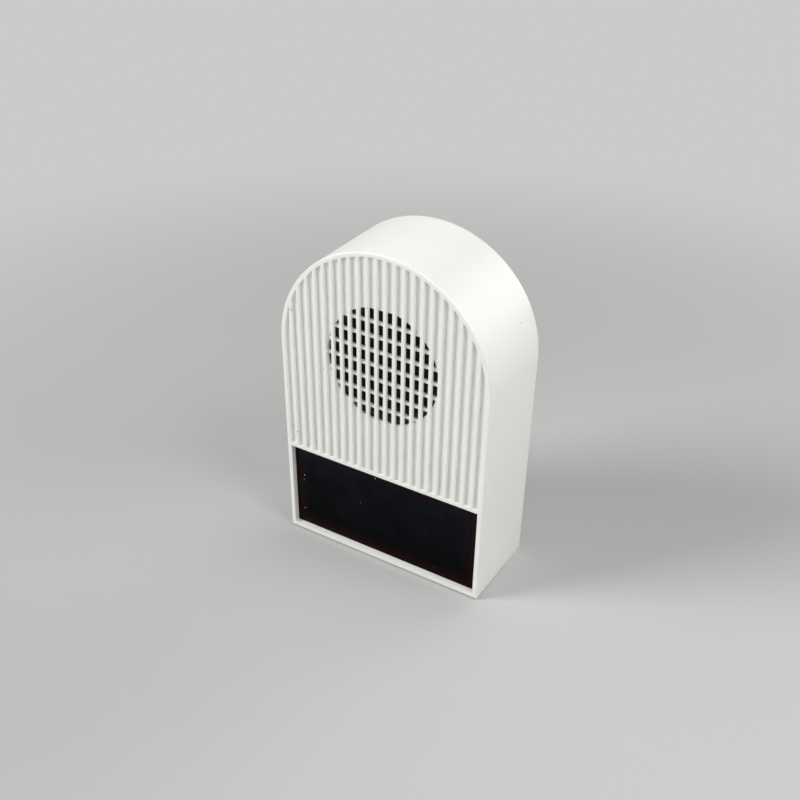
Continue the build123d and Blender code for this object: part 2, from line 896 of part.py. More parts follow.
def speaker_terminal_strip():
    top = arch_z - plate_radius - strip_inset
    x_span = mirrored_x(0, strip_width)
    return block(x_span, (plate_front(), plate_front() + strip_thickness), (top - strip_drop, top))


def lug_tip():
    """Lower face and middle of the lugs' bent tips, where the wires start."""
    z = arch_z - plate_radius - strip_inset - strip_drop - lug_overhang
    return plate_front() + strip_thickness + lug_thickness + lug_stand / 2, z


def speaker_lugs():
    low = lug_tip()[1]
    back = plate_front() + strip_thickness
    made = []
    for side in (-1, 1):
        x_span = mirrored_x(side * lug_pitch / 2, lug_width)
        plate = block(x_span, (back, back + lug_thickness), (low, low + lug_overhang + strip_drop / 2))
        tip = block(x_span, (back, back + lug_thickness + lug_stand), (low, low + lug_thickness))
        made.append(plate + tip)
    return made


def speaker_washers():
    start = flange_y + sheet
    made = []
    for x, z in speaker_post_places():
        disc = rod(x, z, washer_radius, start, start + washer_thickness)
        made.append(disc - rod(x, z, speaker_screw_radius + screw_gap, start - overrun, start + overrun))
    return made


def speaker_screws():
    seat_y = flange_y + sheet + washer_thickness
    reach = washer_thickness + speaker_screw_length
    sizes = (speaker_head_radius, speaker_head_height, speaker_screw_radius, reach)
    return [screw(x, z, seat_y, *sizes) for x, z in speaker_post_places()]


# Circuit board and what is on it
def circuit_board():
    board = block(mirrored_x(0, board_width), (board_y, board_back_y), (board_foot_height, board_top_z))
    board = chamfer(board.edges().filter_by(Axis.Y), board_bevel)
    for x, z in board_post_places()[0]:
        board -= rod(x, z, board_screw_radius + screw_gap, board_y - overrun, board_back_y + overrun)
    return board


def board_screws():
    sizes = (board_head_radius, board_head_height, board_screw_radius, board_screw_length)
    return [screw(x, z, board_back_y, *sizes) for x, z in board_post_places()[0]]


def melody_chip():
    x, z = on_board(chip_place_shares)
    low = board_back_y + chip_stand
    body = block(mirrored_x(x, chip_length), (low, low + chip_height), mirrored_x(z, chip_width))
    back = body.faces().sort_by(Axis.Y)[-1]
    body = chamfer(back.edges(), edge_bevel)
    return body - rod(x - chip_length / 2, z, chip_stand, low + chip_height / 2, low + chip_height + overrun)


def chip_pins():
    """Bent pins along both long sides of the chip."""
    x, z = on_board(chip_place_shares)
    middle = board_back_y + chip_stand + chip_height / 2
    per_side = pin_count // 2
    made = []
    for side in (-1, 1):
        edge = z + side * chip_width / 2
        foot = sorted((edge, edge + side * pin_pitch / 2))
        drop = sorted((foot[0 if side < 0 else 1], foot[0 if side < 0 else 1] - side * pin_thickness))
        for index in range(per_side):
            x_span = mirrored_x(x + (index - (per_side - 1) / 2) * pin_pitch, pin_width)
            arm = block(x_span, (middle - pin_thickness, middle), foot)
            made.append(arm + block(x_span, (board_back_y, middle), drop))
    return made


def board_capacitor():
    x, z = on_board(capacitor_place_shares)
    can = rod(x, z, capacitor_radius, board_back_y, board_back_y + capacitor_height)
    return chamfer(can.edges().sort_by(Axis.Y)[-1], capacitor_bevel)


def board_transistor():
    x, z = on_board(transistor_place_shares)
    low = board_back_y + transistor_stand
    body = rod(x, z, transistor_radius, low, low + transistor_height)
    flat = z - transistor_radius * transistor_flat_share
    side = transistor_radius + overrun
    depth = (low - overrun, low + transistor_height + overrun)
    body -= block(mirrored_x(x, 2 * side), depth, (z - side, flat))
    legs = []
    for index in (-1, 0, 1):
        x_span = mirrored_x(x + index * leg_pitch, leg_thickness)
        legs.append(block(x_span, (board_back_y, low + leg_thickness), mirrored_x(z, leg_thickness)))
    return body + legs


def board_resistors():
    made = []
    for shares in resistor_place_shares:
        x, z = on_board(shares)
        level = board_back_y + resistor_radius
        reach = resistor_length / 2 + resistor_wire_reach
        across = mirrored_x(z, resistor_wire)
        body = Pos(x, level, z) * Rot(0, 90, 0) * Cylinder(resistor_radius, resistor_length)
        body += block(mirrored_x(x, 2 * reach), mirrored_x(level, resistor_wire), across)
        for side in (-1, 1):
            foot = mirrored_x(x + side * (reach - resistor_wire / 2), resistor_wire)
            body += block(foot, (board_back_y, level), across)
        made.append(body)
    return made


def block_way_places():
    x = block_place_share * board_width
    middle = (block_ways - 1) / 2
    return [(x + (way - middle) * block_pitch, block_z) for way in range(block_ways)]


def terminal_block():
    """A screw terminal whose wires go in from above and whose screws face the back."""
    x_span = mirrored_x(block_place_share * board_width, block_ways * block_pitch)
    back = board_back_y + block_depth
    body = block(x_span, (board_back_y, back), mirrored_x(block_z, block_height))
    body = chamfer(body.faces().sort_by(Axis.Y)[-1].edges().filter_by(Axis.X), block_bevel)
    for way_x, way_z in block_way_places():
        body -= rod(way_x, way_z, block_well_radius, back - block_well_depth, back + overrun)
        entry = Pos(way_x, board_back_y + block_entry_radius + sheet, way_z + block_height / 2)
        body -= entry * Cylinder(block_entry_radius, block_height)
    return body


def terminal_screws():
    floor = board_back_y + block_depth - block_well_depth
    made = []
    for x, z in block_way_places():
        body = rod(x, z, clamp_screw_radius, floor, floor + clamp_screw_height)
        top = (floor + clamp_screw_height - clamp_slot_depth, floor + clamp_screw_height + overrun)
        slot = block(mirrored_x(x, 2 * clamp_screw_radius + overrun), top, mirrored_x(z, clamp_slot_width))
        made.append(body - slot)
    return made


# Inner wires, each whole along its route
def lead(points, label):
    """A six-sided wire along straight runs with an arc at each corner; both ends are cut square."""
    points = [Vector(*point) for point in points]
    runs = [(b - a).length for a, b in zip(points, points[1:])]
    radii = []
    for index in range(1, len(points) - 1):
        before = points[index] - points[index - 1]
        after = points[index + 1] - points[index]
        half_turn = radians(before.get_angle(after)) / 2
        radii.append(wire_bend_share * min(runs[index - 1], runs[index]) / tan(half_turn))
    path = FilletPolyline(*points, radius=radii)
    section = RegularPolygon(wire_diameter / 2, wire_sides)
    made = sweep(Plane(origin=points[0], z_dir=points[1] - points[0]) * section, path=path)
    drawn = section.area * path.length
    print(f"{label}: bend radii {[round(r, 2) for r in radii]}, volume {made.volume:.3f} of {drawn:.3f}")
    return made


def battery_lead(z, label):
    """From a contact's tail across to the board."""
    level = tray_y - tray_front - tail_reach / 2
    tail = tray_end - contact_thickness
    landing = board_width / 2 - lead_landing_inset
    points = [(tail, level, z), (landing, level, z), (landing, board_back_y, z)]
    return lead(points, label)


def speaker_lead(side, label):
    """From a loudspeaker lug down to the board."""
    level, start = lug_tip()
    x = side * lug_pitch / 2
    landing = board_foot_height + speaker_lead_landing_share * board_height
    points = [(x, level, start), (x, level, landing), (x, board_back_y, landing)]
    return lead(points, label)


print(f"spring's least gap to itself {spring_self_gap():.2f}")

nodes = {
    "front_housing": front_housing(),
    "label_plate": label_plate(),
    "back_cover": back_cover(),
    "cover_screws": cover_screws(),
    "battery_door": battery_door(),
    "door_pad": door_pad(),
    "cell_upper": cell(upper_cell_z, 1),
    "cell_lower": cell(lower_cell_z, -1),
    "series_contact": series_contact(),
    "series_spring": spring(1, upper_cell_z),
    "positive_contact": positive_contact(),
    "negative_contact": negative_contact(),
    "negative_spring": spring(-1, lower_cell_z),
    "speaker_frame": speaker_frame(),
    "speaker_gasket": speaker_gasket(),
    "speaker_surround": speaker_surround(),
    "speaker_spider": speaker_spider(),
    "speaker_top_plate": speaker_top_plate(),
    "speaker_magnet": speaker_magnet(),
    "speaker_yoke": speaker_yoke(),
    "speaker_terminal_strip": speaker_terminal_strip(),
    "speaker_lugs": speaker_lugs(),
    "speaker_cone": speaker_cone(),
    "dust_cap": dust_cap(),
    "voice_coil": voice_coil(),
    "speaker_screws": speaker_screws(),
    "speaker_washers": speaker_washers(),
    "circuit_board": circuit_board(),
    "board_screws": board_screws(),
    "melody_chip": melody_chip(),
    "chip_pins": chip_pins(),
    "board_capacitor": board_capacitor(),
    "board_transistor": board_transistor(),
    "board_resistors": board_resistors(),
    "terminal_block": terminal_block(),
    "terminal_screws": terminal_screws(),
    "battery_lead_positive": battery_lead(upper_cell_z, "positive lead"),
    "battery_lead_negative": battery_lead(lower_cell_z, "negative lead"),
    "speaker_lead_a": speaker_lead(-1, "speaker lead a"),
    "speaker_lead_b": speaker_lead(1, "speaker lead b"),
}

os.makedirs("parts", exist_ok=True)
for name, shape in nodes.items():
    solids = shape if isinstance(shape, list) else [shape]
    whole = Compound([solid for made in solids for solid in made.solids()])
    export_step(whole, f"parts/{name}.step")
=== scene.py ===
from math import atan2, cos, hypot, pi, radians, sin

import bpy
from mathutils import Matrix, Vector


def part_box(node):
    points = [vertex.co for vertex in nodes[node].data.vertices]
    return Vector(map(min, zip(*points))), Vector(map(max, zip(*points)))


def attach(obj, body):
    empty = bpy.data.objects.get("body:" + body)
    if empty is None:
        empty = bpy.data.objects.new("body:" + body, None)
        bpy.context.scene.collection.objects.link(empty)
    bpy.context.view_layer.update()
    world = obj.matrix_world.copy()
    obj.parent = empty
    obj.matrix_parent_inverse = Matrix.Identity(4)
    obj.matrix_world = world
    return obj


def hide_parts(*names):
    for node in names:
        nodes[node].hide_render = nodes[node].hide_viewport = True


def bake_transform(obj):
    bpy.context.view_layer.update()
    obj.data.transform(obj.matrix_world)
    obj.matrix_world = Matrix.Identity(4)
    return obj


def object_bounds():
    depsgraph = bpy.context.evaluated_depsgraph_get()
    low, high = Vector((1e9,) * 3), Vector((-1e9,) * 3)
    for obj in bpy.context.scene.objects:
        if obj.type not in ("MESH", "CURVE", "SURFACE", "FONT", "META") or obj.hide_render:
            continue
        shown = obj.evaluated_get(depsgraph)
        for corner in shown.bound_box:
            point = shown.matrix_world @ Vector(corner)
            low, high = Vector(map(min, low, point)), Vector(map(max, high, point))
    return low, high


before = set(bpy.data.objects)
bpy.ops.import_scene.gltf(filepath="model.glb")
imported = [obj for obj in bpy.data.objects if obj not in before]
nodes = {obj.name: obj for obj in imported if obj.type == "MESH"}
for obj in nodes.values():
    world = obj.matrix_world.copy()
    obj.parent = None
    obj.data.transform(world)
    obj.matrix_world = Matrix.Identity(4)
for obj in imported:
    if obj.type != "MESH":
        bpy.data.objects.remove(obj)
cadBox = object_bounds()
mm = 0.001  # sizes below are in millimetres where nothing else is said, and Blender takes metres
print("frame loaded:", len(nodes), "nodes")


# The room: pale floor, soft studio light, and a camera where the photographer stood

camera = {
    "azimuth": 30.55, "elevation": 31.96, "roll": 0.75, "distance": 310.05,
    "target": (7.65, -17.1, 71.93), "lens": 43.13, "sensor": 36, "clipStart": 10,
}
# lamps: places and sizes in metres, and each one faces the aim
studio = {
    "aim": (0, 0, 0.06),
    "keyPlace": (-1.25, -1.05, 1.05), "keySize": 0.8, "keyWatts": 28.4,
    "topPlace": (0.10, 0.20, 1.60), "topSize": 1.0, "topWatts": 3.2,
    "sidePlace": (0.34, -0.12, 0.50), "sideSize": 0.22, "sideWatts": 0.95,
    "fillPlace": (0.40, -0.67, 0.55), "fillSize": 0.5, "fillWatts": 1.65,
    "lowPlace": (0.36, 0.05, 0.30), "lowSize": 0.2, "lowWatts": 0.36,
    "backPlace": (0.80, 2.20, 0.62), "backSize": 1.6, "backWatts": 19.5,
    "worldStrength": 0.10, "backdropColour": "#CBCBCA",
    "floorSpan": 8.0, "floorColours": ("#B9B9B8", "#BDBDBC"),
    "floorPatch": 300, "floorFade": (130, 480),
}


def linear(hexColour):
    channels = [int(hexColour[i:i + 2], 16) / 255 for i in (1, 3, 5)]
    return [c / 12.92 if c <= 0.04045 else ((c + 0.055) / 1.055) ** 2.4 for c in channels] + [1.0]


def placeCamera():
    azimuth, elevation, roll = (radians(camera[name]) for name in ("azimuth", "elevation", "roll"))
    back = Vector((sin(azimuth) * cos(elevation), -cos(azimuth) * cos(elevation), sin(elevation)))
    level = Vector((cos(azimuth), sin(azimuth), 0))
    right = level * cos(roll) + back.cross(level) * sin(roll)
    turn = Matrix((right, back.cross(right), back)).transposed().to_4x4()
    lens = bpy.data.cameras.new("photoCamera")
    lens.lens = camera["lens"]
    lens.sensor_width = camera["sensor"]
    lens.clip_start = camera["clipStart"] * mm
    viewer = bpy.data.objects.new("photoCamera", lens)
    bpy.context.scene.collection.objects.link(viewer)
    place = (Vector(camera["target"]) + back * camera["distance"]) * mm
    viewer.matrix_world = Matrix.Translation(place) @ turn
    bpy.context.scene.camera = viewer


def softBox(name):
    lamp = bpy.data.lights.new(name + "Light", "AREA")
    lamp.shape = "DISK"
    lamp.size = studio[name + "Size"]
    lamp.energy = studio[name + "Watts"]
    holder = bpy.data.objects.new(name + "Light", lamp)
    bpy.context.scene.collection.objects.link(holder)
    place = Vector(studio[name + "Place"])
    holder.location = place
    holder.rotation_euler = (Vector(studio["aim"]) - place).to_track_quat("-Z", "Y").to_euler()


placeCamera()
for lampName in ("key", "top", "fill", "side", "low", "back"):
    softBox(lampName)
bpy.context.scene.view_settings.view_transform = "Standard"
print("camera and lights set")


# Materials

def addNode(tree, kind, settings=None, links=None):
    node = tree.nodes.new(kind)
    for name, value in (settings or {}).items():
        if isinstance(name, int) or name in node.inputs:
            node.inputs[name].default_value = value
        else:
            setattr(node, name, value)
    for name, source in (links or {}).items():
        tree.links.new(source, node.inputs[name])
    return node


def newMaterial(name, values):
    material = bpy.data.materials.new(name)
    material.use_nodes = True
    tree = material.node_tree
    shader = tree.nodes["Principled BSDF"]
    for socket, value in values.items():
        shader.inputs[socket].default_value = value
    place = addNode(tree, "ShaderNodeTexCoord").outputs["Object"]
    return material, tree, shader, place


def mixColours(tree, share, first, second):
    # first and second are hex colours or sockets, share is the socket that blends them
    mix = addNode(tree, "ShaderNodeMix", {"data_type": "RGBA"}, {0: share})
    for index, colour in ((6, first), (7, second)):
        if isinstance(colour, str):
            mix.inputs[index].default_value = linear(colour)
        else:
            tree.links.new(colour, mix.inputs[index])
    return mix.outputs[2]


noiseSpan = {"From Min": 0.3, "From Max": 0.7}  # most values of a noise texture lie between these


def dress(tree, shader, place, patch, roughness, grain, depth):
    # roughness drifts over patches, and the grain gives the surface its relief
    patches = addNode(tree, "ShaderNodeTexNoise", {"Scale": 1 / (patch * mm), "Detail": 3.0},
                      {"Vector": place})
    rough = addNode(tree, "ShaderNodeMapRange",
                    {**noiseSpan, "To Min": roughness[0], "To Max": roughness[1]},
                    {"Value": patches.outputs["Fac"]})
    tree.links.new(rough.outputs["Result"], shader.inputs["Roughness"])
    grains = addNode(tree, "ShaderNodeTexNoise", {"Scale": 1 / (grain * mm), "Detail": 2.0},
                     {"Vector": place})
    bump = addNode(tree, "ShaderNodeBump", {"Distance": depth * mm},
                   {"Height": grains.outputs["Fac"]})
    tree.links.new(bump.outputs["Normal"], shader.inputs["Normal"])
    return patches.outputs["Fac"]


def specks(tree, place, spacing, radius, share):
    # grains of dirt or dust of one radius, about a spacing apart, where share of the cells have one
    cells = addNode(tree, "ShaderNodeTexVoronoi", {"Scale": 1 / (spacing * mm)}, {"Vector": place})
    near = addNode(tree, "ShaderNodeMath", {"operation": "LESS_THAN", 1: radius / spacing},
                   {0: cells.outputs["Distance"]})
    tones = addNode(tree, "ShaderNodeSeparateColor", links={0: cells.outputs["Color"]})
    chosen = addNode(tree, "ShaderNodeMath", {"operation": "LESS_THAN", 1: share},
                     {0: tones.outputs[0]})
    grains = addNode(tree, "ShaderNodeMath", {"operation": "MULTIPLY"},
                     {0: near.outputs[0], 1: chosen.outputs[0]})
    return grains.outputs[0]


# Plain finishes: the two colours that drift into each other, the width of a patch, the range of
# roughness, the width and depth of the surface's own grain, and the shader's other values
finishes = {
    # moulded ABS: satin white, with the soft grain that a spark-eroded mould leaves; light
    # sinks a millimetre or two into it
    "mouldedAbs": (("#E9E9E4", "#EFEFEC"), 26, (0.34, 0.42), 0.55, 0.006,
                   {"IOR": 1.54, "Subsurface Weight": 0.3, "Subsurface Radius": (1.0, 1.0, 1.0),
                    "Subsurface Scale": 1.5 * mm}),
    # zinc-plated steel: cool bright grey under a fine hazy bloom
    "zincPlate": (("#A9ABAA", "#C4C6C6"), 1.6, (0.28, 0.42), 0.25, 0.004, {"Metallic": 1.0}),
    # nickel-plated spring steel: warm bright grey, drawn smooth
    "nickelPlate": (("#C2BDB2", "#D6D1C6"), 3, (0.2, 0.32), 0.3, 0.003, {"Metallic": 1.0}),
    # pressed steel under dull zinc: mid grey, slightly spangled
    "pressedSteel": (("#83858A", "#9C9EA0"), 2.2, (0.35, 0.55), 0.4, 0.006, {"Metallic": 1.0}),
    # sintered ferrite: near-black ceramic, ground and slightly pitted
    "sinteredFerrite": (("#2B2B2D", "#3A3A3C"), 2, (0.5, 0.7), 0.35, 0.02, {}),
    # pressed paper pulp: soft black with fibres in a felty surface
    "pressedPaper": (("#0A0A0A", "#151413"), 1.3, (0.75, 0.9), 0.5, 0.03,
                     {"Specular IOR Level": 0.25}),
    # butyl rubber: matt black
    "butylRubber": (("#0E0E0F", "#181819"), 3, (0.55, 0.7), 0.4, 0.008, {"IOR": 1.52}),
    # felt board: dark grey and hairy
    "feltBoard": (("#35322F", "#4B4743"), 0.8, (0.85, 0.95), 0.35, 0.05, {"Sheen Weight": 0.3}),
    # paper-phenolic laminate: brown board with faint streaks
    "phenolicBoard": (("#7A4B22", "#8F5D2E"), 4, (0.4, 0.55), 0.3, 0.004, {"Coat Weight": 0.2}),
    # tinned brass: pale silver with an uneven, hot-dipped flow
    "tinnedBrass": (("#BFC0BC", "#D5D4CD"), 1, (0.22, 0.4), 0.5, 0.01, {"Metallic": 1.0}),
    # epoxy moulding compound: charcoal, with the fine matt of its die
    "epoxyMoulding": (("#1B1B1C", "#28282A"), 2, (0.55, 0.68), 0.25, 0.008, {}),
    # shrink sleeve: glossy navy plastic film
    "shrinkSleeve": (("#141B33", "#1C2542"), 3, (0.2, 0.3), 0.8, 0.01, {"Coat Weight": 0.3}),
    # pale print on that film, down the capacitor's negative side
    "sleevePrint": (("#B4B9C2", "#C2C6CD"), 3, (0.25, 0.35), 0.8, 0.01, {"Coat Weight": 0.3}),
    # drawn aluminium: the capacitor's bare lid
    "drawnAluminium": (("#B2B5B8", "#C4C6C8"), 2, (0.28, 0.4), 0.4, 0.006, {"Metallic": 1.0}),
    # moulded polyamide: green, with the dull skin of a filled plastic
    "mouldedPolyamide": (("#1F6B43", "#287A4E"), 3, (0.45, 0.6), 0.4, 0.01, {}),
    # red PVC wire cover: satin
    "redPvc": (("#A81511", "#BB201A"), 3, (0.35, 0.5), 0.5, 0.008, {}),
    # black PVC wire cover: satin
    "blackPvc": (("#111112", "#1B1B1C"), 3, (0.35, 0.5), 0.5, 0.008, {}),
}
# Dirt caught by the white plastic: small grey specks
dirt = {"on": "mouldedAbs", "spacing": 6.0, "radius": 0.25, "share": 0.3, "colour": "#77756E"}
materials = {}
for name, (colours, patch, roughness, grain, depth, values) in finishes.items():
    material, tree, shader, place = newMaterial(name, values)
    drift = dress(tree, shader, place, patch, roughness, grain, depth)
    colour = mixColours(tree, drift, *colours)
    if name == dirt["on"]:
        spots = specks(tree, place, dirt["spacing"], dirt["radius"], dirt["share"])
        colour = mixColours(tree, spots, colour, dirt["colour"])
    tree.links.new(colour, shader.inputs["Base Color"])
    materials[name] = material


# The backdrop: a pale sweep that the eye and reflections see, and a weak light on the object
def seenRays(tree):
    path = addNode(tree, "ShaderNodeLightPath")
    either = addNode(tree, "ShaderNodeMath", {"operation": "MAXIMUM"},
                     {0: path.outputs["Is Camera Ray"], 1: path.outputs["Is Glossy Ray"]})
    return addNode(tree, "ShaderNodeMath", {"operation": "MAXIMUM"},
                   {0: either.outputs[0], 1: path.outputs["Is Transmission Ray"]}).outputs[0]


world = bpy.data.worlds.new("studioWorld")
world.use_nodes = True
bpy.context.scene.world = world
tree = world.node_tree
seen = seenRays(tree)
weak = [studio["worldStrength"]] * 3 + [1.0]
sky = addNode(tree, "ShaderNodeMix",
              {"data_type": "RGBA", 6: weak, 7: linear(studio["backdropColour"])}, {0: seen})
tree.links.new(sky.outputs[2], tree.nodes["Background"].inputs["Color"])

# Matt paper on the studio's table: pale, with a faint cloudiness. Away from the object it
# fades into the backdrop.
material, tree, shader, place = newMaterial(
    "paperFloor", {"Roughness": 0.9, "Specular IOR Level": 0.1})
clouds = addNode(tree, "ShaderNodeTexNoise", {"Scale": 1 / (studio["floorPatch"] * mm)},
                 {"Vector": place})
tree.links.new(mixColours(tree, clouds.outputs["Fac"], *studio["floorColours"]),
               shader.inputs["Base Color"])
reach = addNode(tree, "ShaderNodeVectorMath", {"operation": "LENGTH"}, {0: place})
near, far = (edge * mm for edge in studio["floorFade"])
fade = addNode(tree, "ShaderNodeMapRange",
               {"interpolation_type": "SMOOTHSTEP", "From Min": near, "From Max": far},
               {"Value": reach.outputs["Value"]})
faded = addNode(tree, "ShaderNodeMath", {"operation": "MULTIPLY"},
                {0: fade.outputs["Result"], 1: seenRays(tree)})
sweep = addNode(tree, "ShaderNodeEmission", {"Color": linear(studio["backdropColour"])})
blend = addNode(tree, "ShaderNodeMixShader",
                links={0: faded.outputs[0], 1: shader.outputs[0], 2: sweep.outputs[0]})
tree.links.new(blend.outputs[0], tree.nodes["Material Output"].inputs["Surface"])
bpy.ops.object.select_all(action="DESELECT")
bpy.ops.mesh.primitive_plane_add(size=studio["floorSpan"], location=(0, 0, cadBox[0].z))
floor = bpy.context.active_object
floor.name = "studioFloor"
bpy.ops.object.transform_apply(location=True, rotation=True, scale=True)
floor.data.materials.append(material)


# The label's print: near-black behind gloss, inside a dull red border of thin lines.
# Each band starts so far in from the plate's edge.
labelPrint = {
    "bands": ((0.0, "#020102"), (0.7, "#240B09"), (1.05, "#090203"), (1.7, "#270D0A"),
              (2.05, "#0D0304"), (3.5, "#1D0706"), (3.8, "#080203"), (4.4, "#140504"),
              (4.65, "#020203")),
    "reach": 8.0, "softness": 0.12,
    "dust": 3.5, "dustRadius": 0.2, "dusty": 0.4, "dustColour": "#C9C6C0",
    # the bluish colour below and its share: part dust film and part painted reflection, paler
    # towards the top
    "smudge": 9.0, "dustAndReflection": "#30353F", "dustAndReflectionShare": 0.3, "roughness": (0.2, 0.36), "wave": 0.02,
}


def printedLabel(box):
    # gloss lacquer over print: dark, with the softened shine of a handled plate
    material, tree, shader, place = newMaterial("glossLabelPrint", {"Specular IOR Level": 0.03})
    middle, half = (box[0] + box[1]) / 2, (box[1] - box[0]) / 2
    centred = addNode(tree, "ShaderNodeVectorMath", {"operation": "SUBTRACT", 1: middle},
                      {0: place})
    folded = addNode(tree, "ShaderNodeVectorMath", {"operation": "ABSOLUTE"},
                     {0: centred.outputs[0]})
    inward = addNode(tree, "ShaderNodeVectorMath", {"operation": "SUBTRACT", 0: half},
                     {1: folded.outputs[0]})
    axes = addNode(tree, "ShaderNodeSeparateXYZ", links={0: inward.outputs[0]})
    nearest = addNode(tree, "ShaderNodeMath", {"operation": "MINIMUM"},
                      {0: axes.outputs[0], 1: axes.outputs[2]})
    share = addNode(tree, "ShaderNodeMath", {"operation": "DIVIDE", 1: labelPrint["reach"] * mm},
                    {0: nearest.outputs[0]})
    ramp = addNode(tree, "ShaderNodeValToRGB", links={0: share.outputs[0]})
    stops = ramp.color_ramp.elements
    stops.remove(stops[1])
    soft = labelPrint["softness"] / labelPrint["reach"]
    bands = labelPrint["bands"]
    stops[0].color = linear(bands[0][1])
    for (_, before), (inset, after) in zip(bands, bands[1:]):
        stops.new(inset / labelPrint["reach"] - soft).color = linear(before)
        stops.new(inset / labelPrint["reach"] + soft).color = linear(after)
    # grains of dust, a little larger than life so that they show
    dust = specks(tree, place, labelPrint["dust"], labelPrint["dustRadius"], labelPrint["dusty"])
    # a bluish film, part dust and part painted reflection of soft light from above, laid on in
    # clouds that are strongest at the top and fade out towards the bottom
    cloud = addNode(tree, "ShaderNodeTexNoise",
                    {"Scale": 1 / (labelPrint["smudge"] * mm), "Detail": 4.0}, {"Vector": place})
    height = addNode(tree, "ShaderNodeSeparateXYZ", links={0: centred.outputs[0]})
    rise = addNode(tree, "ShaderNodeMapRange",
                   {"From Min": -half.z, "From Max": half.z,
                    "To Min": 0.0, "To Max": labelPrint["dustAndReflectionShare"]},
                   {"Value": height.outputs[2]})
    dustAndReflection = addNode(tree, "ShaderNodeMath", {"operation": "MULTIPLY"},
                   {0: rise.outputs[0], 1: cloud.outputs["Fac"]})
    withDustAndReflection = mixColours(tree, dustAndReflection.outputs[0], ramp.outputs["Color"], labelPrint["dustAndReflection"])
    colour = mixColours(tree, dust, withDustAndReflection, labelPrint["dustColour"])
    tree.links.new(colour, shader.inputs["Base Color"])
    dress(tree, shader, place, labelPrint["smudge"], labelPrint["roughness"],
          labelPrint["smudge"], labelPrint["wave"])
    return material


# Foil print on a dry cell: pale grey body, and a dull blue band at the positive end. The surface
# is given as patch, roughness, grain and depth.
cellPrint = {
    "body": "#A9AEB0", "line": "#E4E4E0", "band": "#34536E", "lineStart": 12.0, "bandStart": 12.8,
    "surface": (14, (0.26, 0.31), 3, 0.002),
}


def cellSleeve(name, side):
    material, tree, shader, place = newMaterial(name, {"Metallic": 0.6, "Coat Weight": 0.3})
    axes = addNode(tree, "ShaderNodeSeparateXYZ", links={0: place})
    along = addNode(tree, "ShaderNodeMath", {"operation": "MULTIPLY", 1: side},
                    {0: axes.outputs[0]})
    colour = cellPrint["body"]
    for begin, after in (("lineStart", "line"), ("bandStart", "band")):
        past = addNode(tree, "ShaderNodeMath",
                       {"operation": "GREATER_THAN", 1: cellPrint[begin] * mm},
                       {0: along.outputs[0]})
        colour = mixColours(tree, past.outputs[0], colour, cellPrint[after])
    tree.links.new(colour, shader.inputs["Base Color"])
    dress(tree, shader, place, *cellPrint["surface"])
    return material


# resin-dipped cotton: amber cloth, its threads drawn at half a millimetre so that they show
clothThreads = {"axes": ("X", "Z"), "spacing": 0.5, "dark": "#8A642A", "pale": "#C79B55",
                "depth": 0.08, "wander": 0.6}
# enamelled copper: close glossy turns of fine wire
copperTurns = {"axes": ("Y",), "spacing": 0.3, "dark": "#6E2F16", "pale": "#C87344",
               "depth": 0.05, "wander": 0.0}
wavePeriod = pi / 10  # of Blender's wave texture at a scale of 1


def ridged(name, values, ridges):
    # waves along one or two axes, for threads and turns of wire
    material, tree, shader, place = newMaterial(name, values)
    scale = wavePeriod / (ridges["spacing"] * mm)
    waves = [addNode(tree, "ShaderNodeTexWave",
                     {"bands_direction": axis, "Scale": scale, "Distortion": ridges["wander"]},
                     {"Vector": place}).outputs["Fac"] for axis in ridges["axes"]]
    height = addNode(tree, "ShaderNodeMath", {"operation": "MAXIMUM"},
                     {0: waves[0], 1: waves[-1]}).outputs[0]
    tree.links.new(mixColours(tree, height, ridges["dark"], ridges["pale"]),
                   shader.inputs["Base Color"])
    bump = addNode(tree, "ShaderNodeBump", {"Distance": ridges["depth"] * mm}, {"Height": height})
    tree.links.new(bump.outputs["Normal"], shader.inputs["Normal"])
    return material


# Closed-cell foam: dark grey, its skin full of small open bubbles
foamSkin = {"dark": "#161616", "pale": "#3A3A3A", "bubble": 0.9, "roundness": 0.6, "depth": 0.15}


def cellFoam():
    material, tree, shader, place = newMaterial("cellFoam", {"Roughness": 0.9, "Sheen Weight": 0.2})
    bubbles = addNode(tree, "ShaderNodeTexVoronoi", {"Scale": 1 / (foamSkin["bubble"] * mm)},
                      {"Vector": place})
    walls = addNode(tree, "ShaderNodeMath", {"operation": "POWER", 1: foamSkin["roundness"]},
                    {0: bubbles.outputs["Distance"]})
    tree.links.new(mixColours(tree, walls.outputs[0], foamSkin["dark"], foamSkin["pale"]),
                   shader.inputs["Base Color"])
    bump = addNode(tree, "ShaderNodeBump", {"Distance": foamSkin["depth"] * mm},
                   {"Height": walls.outputs[0]})
    tree.links.new(bump.outputs["Normal"], shader.inputs["Normal"])
    return material


materials["glossLabelPrint"] = printedLabel(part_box("label_plate"))
materials["upperSleeve"] = cellSleeve("upperSleeve", 1)
materials["lowerSleeve"] = cellSleeve("lowerSleeve", -1)
materials["cellFoam"] = cellFoam()
materials["resinCloth"] = ridged("resinCloth", {"Roughness": 0.7, "Sheen Weight": 0.15},
                                 clothThreads)
materials["enamelledCopper"] = ridged(
    "enamelledCopper", {"Metallic": 0.8, "Roughness": 0.35, "Coat Weight": 0.4}, copperTurns)
print("materials made:", len(materials))

# CAD nodes that keep their shape, by finish
keptNodes = {
    "mouldedAbs": ("front_housing", "back_cover", "battery_door"),
    "nickelPlate": ("series_contact", "positive_contact", "negative_contact"),
    "pressedSteel": ("speaker_frame", "speaker_top_plate", "speaker_yoke"),
    "sinteredFerrite": ("speaker_magnet",),
    "phenolicBoard": ("speaker_terminal_strip", "circuit_board"),
    "tinnedBrass": ("speaker_lugs", "chip_pins"),
    "zincPlate": ("speaker_washers", "terminal_screws"),
    "epoxyMoulding": ("melody_chip", "board_transistor"),
    "mouldedPolyamide": ("terminal_block",),
}
for finishName, nodeNames in keptNodes.items():
    for name in nodeNames:
        nodes[name].data.materials.clear()
        nodes[name].data.materials.append(materials[finishName])


